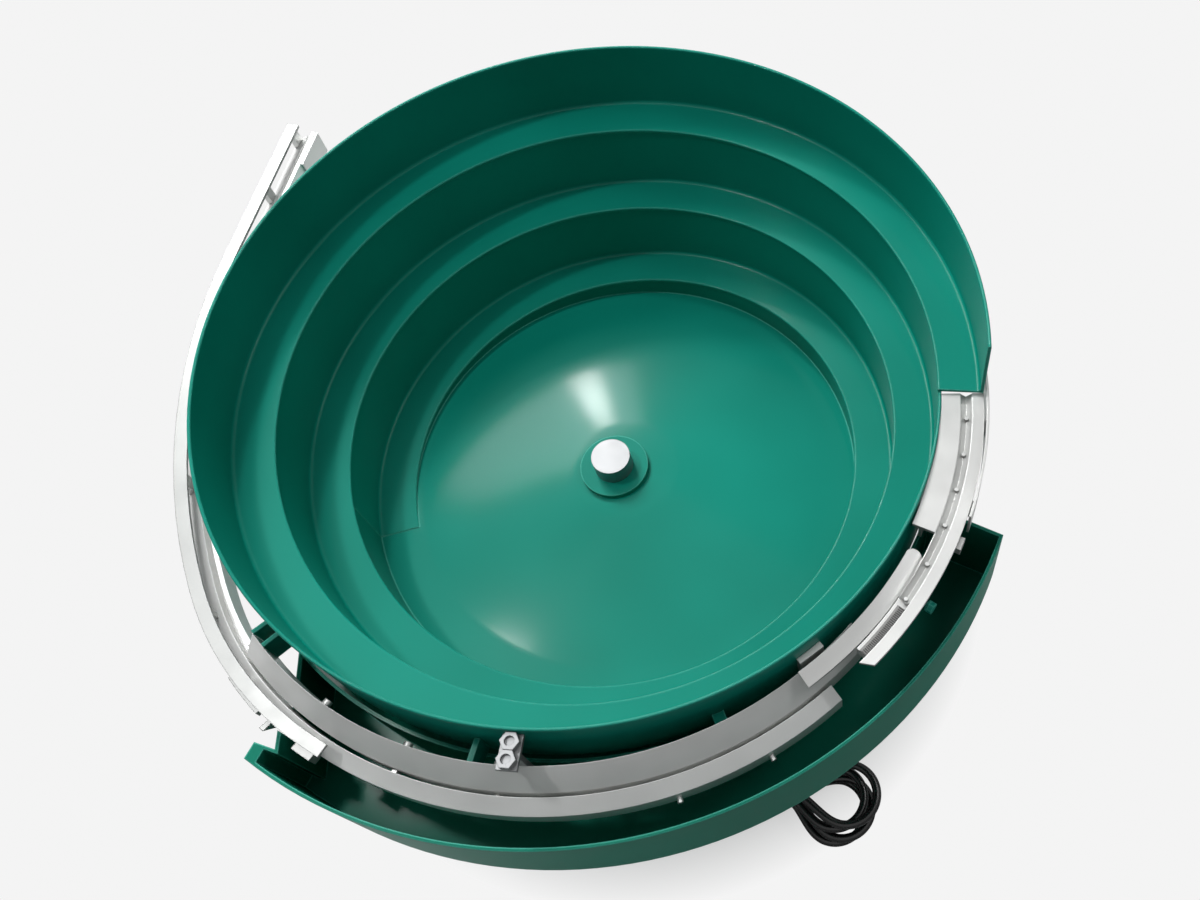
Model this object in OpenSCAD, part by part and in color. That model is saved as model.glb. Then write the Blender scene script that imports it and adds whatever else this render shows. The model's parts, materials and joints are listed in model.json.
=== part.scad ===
// Vibratory bowl feeder: a coated bowl with a stepped spiral track, stainless discharge
// tooling and a curved slotted rail, on an electromagnetic drive with inclined leaf springs.
// Millimetres. Z is the drive axis and Z = 0 is the table that the rubber feet stand on.

/* [Bowl] */
// Height of the bowl floor's edge above the table
floor_h = 165; // [160:1:175]
// Radius of the bowl floor where the track begins
bowl_r = 144; // [143:1:145]
// Width of the track, which is how much the spiral grows in one turn
track_w = 25; // [24.5:0.5:25.5]
// Rise of the track in one turn
track_rise = 52; // [50:1:54]
// Thickness of the bowl's sheet
sheet = 2; // [1.5:0.5:2.5]
// Rise of the cone-shaped floor from its edge to its middle
floor_cone = 7; // [4:1:9]

/* [Discharge tooling] */
// Height of the discharge plate's top above the bowl floor
plate_up = 130; // [128:1:131]
// Inner radius of the discharge plate
plate_r = 208; // [207:1:209]
// Width of the discharge plate
plate_w = 14; // [12:1:14]

/* [Slotted rail] */
// Radius of the rail's outer reference line round the front of the bowl
rail_r = 238; // [237:1:240]
// Height of the slot's edges above the bowl floor
slot_up = 105; // [103:1:107]
// Width of the slot between the inner and the outer rail
slot_w = 2.2; // [2:0.2:3]
// Width of the cover strip over the outer rail
cover_w = 7.5; // [6:0.5:8]

/* [Return pan] */
// Radius of the pan's outer wall
pan_r = 276; // [274:1:280]
// Height of the pan's outer wall
pan_h = 67; // [60:1:75]

/* [Drive] */
// Radius of the cast base plate
base_r = 115; // [112:1:118]
// Lean of the leaf springs from upright, in degrees
spring_lean = 18; // [14:1:20]
// Width of the leaf springs
leaf_w = 35; // [30:1:36]

/* [Cable] */
// Diameter of the mains cable
cable_d = 6.5; // [6:0.5:7]

/* [Hidden] */

bowl_c = [8, 0];            // centre of the spiral in plan
start_a = 199;              // angle where the track leaves the floor
spiral_n = 90;              // facets in one turn of the spiral
track_end = 2 + start_a / 360;  // turns of track, so that it is cut off at angle 0
rim_up = 50;                // height of the rim wall above the last turn of track
lip = 0.6;                  // how far a track's rolled edge stands in from its wall
hair = 0.05;                // the least gap or step, where two sheets meet

plate_c = [7.5, -14];       // centre of the discharge plates' arcs
plate_z = floor_h + plate_up;
plate_a = [-20.4, 3.5];     // from the drop gap back to the end of the track
plate_t = 3;
groove_w = 7;
groove_r = plate_r + plate_w;
groove_a = [-31.7, 3.5];
outer_w = 7;
outer_pl_r = groove_r + groove_w;
tool_end_a = -41;           // where the tooling bar ends
bar_top = plate_z - 6.55;   // top of the tooling bar
screw_as = [-0.6, -6.7, -12.6, -18.6, -25.2, -31.3];
screw_r = groove_r + groove_w / 2;

guide_c = [3, -7];          // centre of the guide plate's arc
guide_r = 218.5;
guide_w = 9.5;
guide_a = [-50, -26];
guide_z = floor_h + 126;

rail_c = [-1, -14];         // centre of the rail's front arc
rail_a_end = 238.7;         // angle where the front arc hands over to the second
rail_b_r = 210;             // radius of the second arc, round the front left
rail_b_end = 209;           // angle where it hands over to the third
rail_d_r = 379;             // radius of the third arc, up the left side
rail_d_end = 173.4;         // angle where the straight exit begins
rail_exit = 112;            // length of the straight exit
rail_step = 2.5;            // degrees between the sections of the swept rails
rail_b_c = rail_c + (rail_r - rail_b_r) * [cos(rail_a_end), sin(rail_a_end)];
rail_d_c = rail_b_c + (rail_b_r - rail_d_r) * [cos(rail_b_end), sin(rail_b_end)];
slot_z = floor_h + slot_up;
outer_rail_w = 9;
outer_in = 1;               // from the reference line in to the outer rail
outer_top_fall = 6;         // fall of the outer rail's top towards its outside
rail_h = 20;
inner_rail_w = 11;          // width of the inner rail's slanting face
inner_rail_rise = 15;
rail_in = outer_in + outer_rail_w + slot_w + inner_rail_w;
bar_in = 17.5;              // from the reference line in to the inner bar
bar_t = 2.5;
bar_z = [slot_z - 10, slot_z + 5];
inner_rail_a = [224, 323];
bar_a = 221.5;              // angle where the inner bar takes over from the inner rail
outer_rail_a = 315.2;
cover_a = 243.7;
cover_z = slot_z + 8;
cover_t = 2;

pan_c = [-5, 7];            // centre of the pan's outer wall
pan_z = floor_h + 33;       // underside of the pan's floor
pan_t = 2;
pan_in_c = [3, -1];         // centre of the pan's inner wall
pan_in_r = 217;
pan_in_h = 56;
// Corners of the pan's two ends, from the inner wall out
pan_left = [[-145.5, -160.3], [-138, -212], [-137, -221], [-149, -217.5], [-152.5, -227.5]];
pan_right = [[196, -54], [300, -95.3]];
// The same corners inside the sheet
pan_left_in = [[-143.4, -158], [-136, -212], [-134.7, -223.6], [-142.9, -221.2], [-146.6, -231.8]];
pan_right_in = [[195.2, -55.8], [299.2, -97.1]];
rib_as = [256, 290, 324];   // angles of the ribs under the pan
rib_t = 3;

foot_r = 20;
foot_h = 18;
foot_pcr = 95;
foot_as = [30, 150, 270];
foot_thread_r = 3.4;
base_h = 22;
base_top = foot_h + base_h;
top_z = floor_h - 25;       // underside of the top plate
top_h = 16;
top_r = 106;
spring_mid_z = (base_top + top_z) / 2;
spring_pcr = 78;
spring_as = [45, 135, 225, 315];
leaf_t = 2.5;
leaf_gap = 1.5;
leaf_half = 46;             // half the leaf's length
pack_t = 2 * leaf_t + leaf_gap;
grip = 22;                  // length of leaf that a clamp holds
clamp_t = 8;
clamp_bolt_r = 4;
clamp_bolt_x = 9;
ring_h = floor_h - 3 - (top_z + top_h);
centre_bolt_r = 13;

gland_a = 290;              // direction in which the cable leaves the base plate
gland_z = foot_h + base_h / 2;
cable_r = cable_d / 2;

hank_c = [124, -181.6];      // middle of the tied hank of cable on the table
hank_turn = -12;            // its direction, in degrees from +X
hank_loops = 4;             // turns of cable in it
hank_reach = 41;            // from its middle to the centre of the bend at each end
hank_bend_r = 19.5;         // radius of those bends along the cable's middle
hank_h = cable_d * (hank_loops + 1);
plug_at = [49, -154.8];     // back end of the plug
plug_turn = 195;
plug_z = 10.5;

gland_hex_h = 6;
relief_len = 35;
// A point straight out from the gland, at distance d past the strain relief's end
function past_gland(d, drop = 0) = let (r = base_r + gland_hex_h + relief_len + d)
    [r * cos(gland_a), r * sin(gland_a), gland_z - drop];

// Route of the cable from the gland across to the hank
route_a = [past_gland(0), past_gland(6), past_gland(17, 0.8), past_gland(28, 0.2), past_gland(33.5)];
// Route of the cable from the hank back to the plug, chosen by hand
route_b = [
    [79, -152.2, 4], [72, -151.4, 4.3], [66.5, -151.4, 5.8], [62.5, -151.8, 7.3],
    [58, -152.6, 8.9], [plug_at.x - 4 * cos(plug_turn), plug_at.y - 4 * sin(plug_turn), plug_z],
    [plug_at.x, plug_at.y, plug_z]
];

GREEN = [0.0, 0.42, 0.34];
STEEL = [0.8, 0.81, 0.8];
DARK = [0.12, 0.12, 0.13];
IRON = [0.35, 0.37, 0.38];

// ---- Helpers ----

// A ring sector about c, from radius r1 to r2, height z1 to z2, angle a[0] to a[1].
module band(c, r1, r2, z1, z2, a) {
    translate([c.x, c.y, 0]) rotate([0, 0, a[0]])
        rotate_extrude(angle = a[1] - a[0], $fn = 180)
            translate([r1, z1]) square([r2 - r1, z2 - z1]);
}

// A ring sector about c whose section is a polygon of [radius, height] points.
module band_of(c, pts, a) {
    translate([c.x, c.y, 0]) rotate([0, 0, a[0]])
        rotate_extrude(angle = a[1] - a[0], $fn = 180) polygon(pts);
}

// Puts children at radius r and angle a about c, turned to face outward along +X.
module at(c, r, a, z) {
    translate([c.x, c.y, z]) rotate([0, 0, a]) translate([r, 0, 0]) children();
}

// Sweeps a section through a list of places [centre x, centre y, angle, radius]. A section
// is a list of [outward offset, height] points, and there is one for each place.
module sweep(places, sections) {
    n = len(places) - 1;
    m = len(sections[0]);
    pts = [for (i = [0:n]) let (q = places[i]) for (p = sections[i])
        [q[0] + (q[3] + p.x) * cos(q[2]), q[1] + (q[3] + p.x) * sin(q[2]), p.y]];
    first = [for (j = [0:m - 1]) j];
    last = [for (j = [0:m - 1]) n * m + m - 1 - j];
    sides = [for (i = [0:n - 1]) for (j = [0:m - 1])
        let (k = (j + 1) % m, a = i * m + j, b = i * m + k, c = b + m, d = a + m)
            each [[a, c, b], [a, d, c]]];
    polyhedron(pts, concat([first, last], sides));
}

// The rail's arc at an angle, as [centre x, centre y, angle, radius].
function rail_place(a) =
    a >= rail_a_end ? [rail_c.x, rail_c.y, a, rail_r] :
    a >= rail_b_end ? [rail_b_c.x, rail_b_c.y, a, rail_b_r] :
        [rail_d_c.x, rail_d_c.y, a, rail_d_r];

// Pieces of the rail's arcs and of its straight exit, with a section of
// [outward offset, height] points.
module on_rail(pts, a) {
    q = rail_place((a[0] + a[1]) / 2);
    band_of([q.x, q.y], [for (p = pts) [q[3] + p.x, p.y]], a);
}
module on_exit(pts, from, to) {
    at(rail_d_c, rail_d_r, rail_d_end, 0) translate([0, -from, 0]) rotate([90, 0, 0])
        linear_extrude(to - from) polygon(pts);
}

// The whole rail, from an angle on its first or second arc round to the exit's end. Its
// section is listed anticlockwise.
module along_rail(pts, from_a) {
    function arc(from, to) = let (n = round((from - to) / rail_step))
        [for (i = [0:n - 1]) rail_place(from + (to - from) * i / n - 0.001)];
    places = concat(from_a > rail_a_end ? arc(from_a, rail_a_end) : [],
        arc(min(from_a, rail_a_end), rail_b_end),
        arc(rail_b_end, rail_d_end), [rail_place(rail_d_end)],
        [[rail_d_c.x + rail_exit * sin(rail_d_end), rail_d_c.y - rail_exit * cos(rail_d_end),
            rail_d_end, rail_d_r]]);
    sweep(places, [for (p = places) pts]);
}

function box_pts(x1, x2, z1, z2) = [[x1, z1], [x2, z1], [x2, z2], [x1, z2]];

module hex(af, h) { cylinder(d = af / cos(30), h = h, $fn = 6); }

// A hexagon-head bolt with its head on z = 0 and its shank below.
module bolt(r, af, head_h, len) {
    hex(af, head_h);
    translate([0, 0, -len]) cylinder(r = r, h = len + 0.5, $fn = 32);
}

// ---- Spiral ----

floor_edge = floor_h - 0.5;     // top of the floor's sheet along its edge

function sp_r(t) = bowl_r + track_w * t;
function sp_z(t) = floor_h + track_rise * t;
function sp_a(t) = start_a - 360 * t;

// The bowl's sheet at turn t, from the low wall under the track's inner edge, across the
// track, to the wall that stands on its outer edge. Where is_low, the low wall reaches down
// to the floor; elsewhere it ends a hair below the track. The outer wall ends a hair below
// the next turn of track, and stands free on the last one.
function bowl_section(t, is_low) =
    let (r = sp_r(t), r1 = sp_r(t + 1), z = sp_z(t),
        under = max(z - sheet, floor_edge + 2 * hair),
        low = is_low ? floor_edge + hair : under - hair,
        top = z + (t + 1 > track_end ? rim_up : track_rise - sheet - 3 * hair))
        [[r, low], [r + sheet, low], [r + sheet, under], [r1 + sheet, under],
         [r1 + sheet, top], [r1, top], [r1, z], [r - lip, z], [r - lip, under], [r, under]];

function steps(t0, t1) =
    let (n = round((t1 - t0) * spiral_n)) [for (i = [0:n]) t0 + (t1 - t0) * i / n];

// Outer face of the rim's wall at an angle, for the parts fixed to it.
function wall_r(a) =
    let (f = (start_a - a) / 360) sp_r(f + (f > track_end - 2 ? 2 : 3)) + sheet;

// A cylinder that fills the bowl's wall closely about angle a, to cut parts that meet it.
module wall_cut(a) {
    grow = track_w / (2 * PI);
    translate([bowl_c.x + grow * sin(a), bowl_c.y - grow * cos(a), floor_h - 20])
        cylinder(r = wall_r(a) + 0.15, h = 250, $fn = 240);
}

// ---- Drive ----

module rubber_feet() {
    color(DARK) for (a = foot_as) at([0, 0], foot_pcr, a, 0)
        difference() {
            cylinder(r = foot_r, h = foot_h, $fn = 64);
            translate([0, 0, -1]) cylinder(r = foot_thread_r, h = 11, $fn = 32);
        }
}

module base_plate() {
    color(IRON) difference() {
        translate([0, 0, foot_h]) cylinder(r = base_r, h = base_h, $fn = 128);
        translate([0, 0, foot_h - 1]) cylinder(r = 12, h = base_h + 2, $fn = 48);
        rotate([0, 0, gland_a]) translate([base_r - 24, 0, gland_z]) rotate([0, 90, 0])
            cylinder(r = 8, h = 30, $fn = 48);
    }
}

magnet_z = base_top + 6;

module magnet_core() {
    color([0.45, 0.45, 0.47]) translate([0, 0, magnet_z]) difference() {
        translate([-35, -22, 0]) cube([70, 44, 62]);
        for (s = [-1, 1]) translate([s * 18 - 7, -23, 18]) cube([14, 46, 45]);
    }
}

module magnet_coil() {
    color([0.6, 0.3, 0.12]) translate([0, 0, magnet_z + 19]) difference() {
        translate([-24, -36, 0]) cube([48, 72, 34]);
        translate([-11, -22, -1]) cube([22, 44, 36]);
    }
}

module magnet_bracket() {
    color(IRON) translate([0, 0, base_top]) difference() {
        translate([-50, -22, 0]) cube([100, 44, 6]);
        for (s = [-1, 1]) translate([s * 43, 0, -1]) cylinder(r = 4.5, h = 8, $fn = 32);
    }
}

// Children are drawn in the leaf's own frame: Y across the pack, Z up the leaf.
module in_leaf_frame() {
    for (a = spring_as) rotate([0, 0, a]) translate([spring_pcr, 0, spring_mid_z])
        rotate([-spring_lean, 0, 0]) children();
}

// One end of a spring pack is the other end turned over.
module upper_end() { rotate([180, 0, 0]) children(); }

// The block that one end of the pack is clamped to, with its foot cut level.
module spring_block() {
    difference() {
        translate([-leaf_w / 2, -pack_t / 2 - 26, -leaf_half - 22]) cube([leaf_w, 26, grip + 22]);
        for (x = [-clamp_bolt_x, clamp_bolt_x])
            translate([x, -pack_t / 2 + 1, -leaf_half + grip / 2]) rotate([90, 0, 0])
                cylinder(r = clamp_bolt_r, h = 20, $fn = 32);
        rotate([spring_lean, 0, 0]) translate([-60, -90, -spring_mid_z + base_top - 80])
            cube([120, 180, 80]);
    }
}

module clamp_plate() {
    translate([-leaf_w / 2, pack_t / 2, -leaf_half]) difference() {
        cube([leaf_w, clamp_t, grip]);
        for (x = [-clamp_bolt_x, clamp_bolt_x])
            translate([leaf_w / 2 + x, -1, grip / 2]) rotate([-90, 0, 0])
                cylinder(r = clamp_bolt_r + 0.3, h = clamp_t + 2, $fn = 32);
    }
}

module clamp_bolts() {
    for (x = [-clamp_bolt_x, clamp_bolt_x])
        translate([x, pack_t / 2 + clamp_t, -leaf_half + grip / 2]) rotate([-90, 0, 0])
            bolt(clamp_bolt_r - 0.05, 13, 5.3, pack_t + clamp_t + 15);
}

module leaf(y) {
    translate([-leaf_w / 2, y, -leaf_half]) difference() {
        cube([leaf_w, leaf_t, 2 * leaf_half]);
        for (x = [-clamp_bolt_x, clamp_bolt_x], z = [grip / 2, 2 * leaf_half - grip / 2])
            translate([leaf_w / 2 + x, -1, z]) rotate([-90, 0, 0])
                cylinder(r = clamp_bolt_r + 0.5, h = leaf_t + 2, $fn = 32);
    }
}

module leaf_springs() {
    color([0.3, 0.32, 0.36]) in_leaf_frame() {
        leaf(-pack_t / 2);
        leaf(pack_t / 2 - leaf_t);
    }
}

// The plate between the two leaves at the lower end of a pack.
module spacer() {
    translate([-leaf_w / 2, -leaf_gap / 2, -leaf_half]) difference() {
        cube([leaf_w, leaf_gap, grip]);
        for (x = [-clamp_bolt_x, clamp_bolt_x])
            translate([leaf_w / 2 + x, -1, grip / 2]) rotate([-90, 0, 0])
                cylinder(r = clamp_bolt_r + 0.5, h = leaf_gap + 2, $fn = 32);
    }
}

module lower_spacers() { color(STEEL) in_leaf_frame() spacer(); }
module upper_spacers() { color(STEEL) in_leaf_frame() upper_end() spacer(); }
module lower_spring_blocks() { color(IRON) in_leaf_frame() spring_block(); }
module lower_clamp_plates() { color(STEEL) in_leaf_frame() clamp_plate(); }
module lower_clamp_bolts() { color(DARK) in_leaf_frame() clamp_bolts(); }
module upper_spring_blocks() { color(IRON) in_leaf_frame() upper_end() spring_block(); }
module upper_clamp_plates() { color(STEEL) in_leaf_frame() upper_end() clamp_plate(); }
module upper_clamp_bolts() { color(DARK) in_leaf_frame() upper_end() clamp_bolts(); }

module armature() {
    color([0.45, 0.45, 0.47]) translate([-35, -22, top_z - 30]) cube([70, 44, 30]);
}

module top_plate() {
    color(IRON) difference() {
        translate([0, 0, top_z]) cylinder(r = top_r, h = top_h, $fn = 128);
        translate([0, 0, top_z + 2]) cylinder(r = 8, h = top_h, $fn = 48);
    }
}

module bowl_ring() {
    color(IRON) translate([0, 0, top_z + top_h]) difference() {
        cylinder(r = 92, h = ring_h, $fn = 128);
        translate([0, 0, -1]) cylinder(r = 62, h = ring_h + 2, $fn = 96);
    }
}

// ---- Cable ----

module cable_gland() {
    color(DARK) rotate([0, 0, gland_a]) translate([base_r, 0, gland_z]) rotate([0, 90, 0]) {
        translate([0, 0, -20]) cylinder(r = 7.9, h = 21, $fn = 48);
        hex(22, gland_hex_h);
    }
}

// The gland's nut with the tapered strain relief that grips the cable.
module gland_nut() {
    color(DARK) rotate([0, 0, gland_a]) translate([base_r + gland_hex_h, 0, gland_z])
        rotate([0, 90, 0]) rotate_extrude($fn = 64) polygon([
            [0, 0], [10.5, 0], [10.5, 9], [8, 13], [cable_r + 2, 15],
            [cable_r + 1, relief_len], [0, relief_len]
        ]);
}

// A tube of radius r swept through the points of a route, with flat ends.
module cable_tube(route, r, sides = 10) {
    n = len(route);
    dirs = [for (i = [0:n - 1])
        let (d = route[min(i + 1, n - 1)] - route[max(i - 1, 0)]) d / norm(d)];
    rings = [for (i = [0:n - 1])
        let (d = dirs[i], s = cross(d, [0, 0, 1]) / norm(cross(d, [0, 0, 1])), u = cross(s, d))
            for (k = [0:sides - 1])
                route[i] + r * (cos(360 * k / sides) * s + sin(360 * k / sides) * u)];
    first = [for (k = [0:sides - 1]) k];
    last = [for (k = [0:sides - 1]) (n - 1) * sides + sides - 1 - k];
    walls = [for (i = [0:n - 2]) for (k = [0:sides - 1])
        let (j = (k + 1) % sides, a = i * sides + k, b = i * sides + j)
            each [[a, b + sides, b], [a, a + sides, b + sides]]];
    polyhedron(rings, concat([first, last], walls));
}

module cable_to_hank() { color(DARK) cable_tube(route_a, cable_r); }
module cable_to_plug() { color(DARK) cable_tube(route_b, cable_r); }

// The outer shape of the tied hank: two round ends drawn together at the tie.
module cable_hank() {
    end_r = hank_bend_r + cable_r;
    color(DARK) translate([hank_c.x, hank_c.y, 0]) rotate([0, 0, hank_turn])
        linear_extrude(hank_h) union() {
            square([2 * hank_reach, 2.2 * cable_d], center = true);
            for (s = [-1, 1]) translate([s * hank_reach, 0]) circle(r = end_r, $fn = 48);
        }
}

// The tie round the hank's middle.
module cable_tie() {
    h = hank_h;
    color(DARK) translate([hank_c.x, hank_c.y, 0]) rotate([0, 0, hank_turn])
        translate([-2.4, 0, 0]) difference() {
            translate([0, -1.1 * cable_d - 1.2, 0]) cube([4.8, 2.2 * cable_d + 2.4, h + 1.2]);
            translate([-1, -1.1 * cable_d, -1]) cube([7, 2.2 * cable_d, h + 1]);
        }
}

// A round locking connector lying on its ring.
module plug() {
    color(STEEL) translate([plug_at.x, plug_at.y, plug_z]) rotate([0, 0, plug_turn])
        rotate([0, 90, 0]) rotate_extrude($fn = 64) polygon([
            [0, 0], [6, 0], [6, 5], [8.5, 6], [8.5, 24], [10.5, 25], [10.5, 38], [8.5, 38],
            [8.5, 30], [0, 30]
        ]);
}

// ---- Bowl ----

module bowl() {
    nick = 0.0002;      // a very short step, where the section changes at once
    turns = concat(steps(0, 1 - 1 / spiral_n), [1 - 2 * nick, 1 - nick],
        steps(1, track_end));
    color(GREEN) translate([bowl_c.x, bowl_c.y, 0]) {
        sweep([for (t = turns) [0, 0, sp_a(t), 0]],
            [for (t = turns) bowl_section(t, t < 1 - 1.5 * nick)]);
        floor_disc();
    }
}

// The cone-shaped floor, with a flat middle for the bolt's washer.
module floor_disc() {
    outer = bowl_r + track_w + 4;
    difference() {
        rotate_extrude($fn = 144) polygon([
            [0, floor_h - 3], [outer, floor_h - 3], [outer, floor_edge],
            [bowl_r - 2, floor_edge], [34, floor_h + floor_cone], [0, floor_h + floor_cone]
        ]);
        translate([-bowl_c.x, -bowl_c.y, floor_h - 10]) cylinder(r = 8.2, h = 30, $fn = 48);
    }
}

bolt_seat = floor_h + floor_cone;

module centre_washer() {
    color([0.02, 0.2, 0.16]) translate([0, 0, bolt_seat]) difference() {
        cylinder(r = 23, h = 4, $fn = 64);
        translate([0, 0, -1]) cylinder(r = 8.5, h = 6, $fn = 48);
    }
}

module centre_bolt() {
    color(STEEL) {
        translate([0, 0, bolt_seat + 4]) cylinder(r = centre_bolt_r, h = 14, $fn = 64);
        translate([0, 0, top_z + 4]) cylinder(r = 7.9, h = bolt_seat - top_z + 1, $fn = 48);
    }
}

// ---- Discharge tooling ----

screw_hole_r = 0.9;

module screw_holes() {
    for (a = screw_as) at(plate_c, screw_r, a, plate_z - 20)
        cylinder(r = screw_hole_r, h = 25, $fn = 24);
}

bar_in_r = groove_r - 1;     // inner face of the tooling bar
bar_out_r = outer_pl_r + 1;  // its outer face

module tooling_bar() {
    color(STEEL) difference() {
        band(plate_c, bar_in_r, bar_out_r, plate_z - 14, bar_top, [tool_end_a, plate_a[1]]);
        screw_holes();
    }
}

module discharge_plate() {
    color(STEEL) difference() {
        union() {
            band(plate_c, plate_r, groove_r, plate_z - plate_t, plate_z, plate_a);
            band(plate_c, plate_r + 4, plate_r + 6, plate_z - 14, plate_z - plate_t + 0.5,
                plate_a);
        }
        wall_cut(-10);
    }
}

// A shallow V that runs between the discharge plate and the outer plate.
module groove_channel() {
    color(STEEL) difference() {
        band_of(plate_c, [
            [groove_r, plate_z - 3], [screw_r, plate_z - 6.5], [groove_r + groove_w, plate_z - 3],
            [groove_r + groove_w, plate_z - 0.5], [screw_r, plate_z - 4],
            [groove_r, plate_z - 0.5]
        ], groove_a);
        screw_holes();
    }
}

module channel_screws() {
    color(STEEL) for (a = screw_as) at(plate_c, screw_r, a, plate_z - 2.75) {
        cylinder(r = 1.2, h = 1.2, $fn = 32);
        translate([0, 0, -9]) cylinder(r = 0.8, h = 9.2, $fn = 24);
    }
}

// A flat strip outside the channel, cut off askew at its lower end.
module outer_plate() {
    color(STEEL) difference() {
        band(plate_c, outer_pl_r, outer_pl_r + outer_w, plate_z - 2, plate_z,
            [tool_end_a - 2.5, plate_a[1]]);
        at(plate_c, outer_pl_r, tool_end_a - 1.6, plate_z - 20) rotate([0, 0, 35])
            translate([-10, -24, 0]) cube([40, 24, 30]);
    }
}

// A thin sheet that stands outside the outer plate on two short arms from the bar.
module guard_strip() {
    r = outer_pl_r + outer_w + 1;
    color(STEEL) {
        band(plate_c, r, r + 1.5, plate_z - 16, plate_z + 6, [-17, 6.2]);
        for (a = [-15, -2]) band(plate_c, bar_out_r, r + 0.5, plate_z - 13, plate_z - 8,
            [a, a + 2]);
    }
}

// The slanting guide plate below the drop gap, with a rounded nose.
module guide_plate() {
    nose_a = guide_a[1];
    color(STEEL) difference() {
        band_of(guide_c, [
            [guide_r, guide_z - 2], [guide_r + guide_w, guide_z - 5.5],
            [guide_r + guide_w, guide_z - 3.5], [guide_r, guide_z]
        ], [guide_a[0], nose_a + 1.4]);
        at(guide_c, guide_r + guide_w / 2, nose_a, guide_z - 10) difference() {
            translate([-10, 0, 0]) cube([20, 20, 20]);
            translate([0, 0, -1]) cylinder(r = guide_w / 2 + 0.3, h = 22, $fn = 48);
        }
    }
}

// The block under the guide plate that holds it to the tooling bar.
module guide_bracket() {
    color(STEEL) band(plate_c, groove_r - 6, bar_in_r, plate_z - 14, plate_z - 9.7,
        [-38, -34]);
}

tooth_a = [-41, -32.4];     // the toothed strip's ends
tooth_n = 28;

module serrated_strip() {
    step = (tooth_a[1] - tooth_a[0]) / tooth_n;
    color(DARK) {
        band(plate_c, groove_r + 1, outer_pl_r - 0.2, bar_top, bar_top + 1, tooth_a);
        for (i = [0:tooth_n - 1])
            band(plate_c, groove_r + 2.4, outer_pl_r - 0.7, bar_top + 0.5, bar_top + 2,
                [tooth_a[0] + step * (i + 0.3), tooth_a[0] + step * (i + 0.75)]);
    }
}

// The adjusting bolt that is screwed into the tooling bar from outside.
module outer_bolt() {
    color(GREEN) at(plate_c, bar_out_r, -29.8, plate_z - 10.4) rotate([0, 90, 0]) {
        cylinder(r = 1.8, h = 7, $fn = 32);
        translate([0, 0, 6]) cylinder(r = 3.4, h = 1.2, $fn = 32);
        translate([0, 0, 7]) hex(6, 3.4);
    }
}

module clip_bracket() {
    color(STEEL) band(plate_c, bar_out_r, outer_pl_r + outer_w + 2.6, plate_z - 13,
        plate_z - 6, [-20.9, -19]);
}

module end_block() {
    color(STEEL) difference() {
        at(bowl_c, 213, 311, floor_h + 105) translate([-4, -8, 0]) cube([7.8, 16, 18]);
        wall_cut(311);
    }
}

// ---- Slotted rail ----

slot_r = rail_r - outer_in - outer_rail_w - slot_w;   // the slot's inner edge
inner_r = rail_r - rail_in;
inner_z = slot_z + inner_rail_rise;
slant = inner_rail_rise / inner_rail_w;
fold_t = 2;
slant_t = fold_t * sqrt(1 + slant * slant);           // the fold's thickness, upright

// A folded plate: a slanting sliding face with a leg turned down at each edge.
module inner_rail() {
    color(STEEL) band_of(rail_c, [
        [inner_r, inner_z], [slot_r, slot_z], [slot_r, slot_z - 16],
        [slot_r - fold_t, slot_z - 16], [slot_r - fold_t, slot_z + slant * fold_t - slant_t],
        [inner_r + fold_t, inner_z - slant * fold_t - slant_t],
        [inner_r + fold_t, inner_z - 22], [inner_r, inner_z - 22]
    ], inner_rail_a);
}

module inner_bar() {
    color(STEEL) along_rail(box_pts(-bar_in, -bar_in + bar_t, bar_z[0], bar_z[1]), bar_a);
}

// A solid bar whose top falls away from the slot.
module outer_rail() {
    x = -outer_in;
    color(STEEL) along_rail([
        [x - outer_rail_w, slot_z - rail_h], [x, slot_z - rail_h],
        [x, slot_z - outer_top_fall], [x - outer_rail_w, slot_z]
    ], outer_rail_a);
}

module cover_strip() {
    color(STEEL) along_rail(box_pts(-cover_w, 0, cover_z, cover_z + cover_t), cover_a);
}

// Blocks that hold the cover strip above the outer rail.
module cover_spacers() {
    x = [-6, -2];
    fall = outer_top_fall / outer_rail_w;
    low = [for (v = x) slot_z - fall * (v + outer_in + outer_rail_w)];
    pts = [[x[0], low[0]], [x[1], low[1]], [x[1], cover_z], [x[0], cover_z]];
    color(STEEL) {
        for (a = [240, 225, 212, 197, 184]) on_rail(pts, [a, a + 1.2]);
        for (y = [5, 55, 104]) on_exit(pts, y, y + 6);
    }
}

// Small bridges low in the slot that hold its two sides apart.
module slot_spacers() {
    slot = box_pts(-outer_in - outer_rail_w - slot_w, -outer_in - outer_rail_w - 0.1,
        slot_z - 15, slot_z - 8);
    color(STEEL) for (a = [251.5, 266.3, 279.5, 296]) on_rail(slot, [a, a + 0.7]);
}

// The strip that closes the channel between the inner bar and the outer rail from below.
module channel_floor() {
    color(STEEL) along_rail(box_pts(-bar_in + bar_t, -outer_in - outer_rail_w,
        bar_z[0], bar_z[0] + 2), bar_a);
}

// Two lugs and a three-cornered rib on the outside of the outer rail.
module rail_lugs() {
    x = -outer_in;
    color(STEEL) {
        on_rail(box_pts(x, x + 4.5, slot_z - 8, slot_z - 3), [223, 230.5]);
        on_rail(box_pts(x, x + 5, slot_z - 8, slot_z + 1), [239, 242]);
        on_rail([[x, slot_z - 20], [x + 8.5, slot_z - 7], [x, slot_z - 7]], [232, 232.8]);
    }
}

// Round-headed screws on the inner rail's inner leg.
module rail_screws() {
    color(STEEL) for (a = [239.3, 253.4, 267]) at(rail_c, inner_r, a, inner_z - 9)
        translate([-0.02, 0, 0]) rotate([0, -90, 0]) cylinder(r = 2.5, h = 3, $fn = 32);
}

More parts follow.
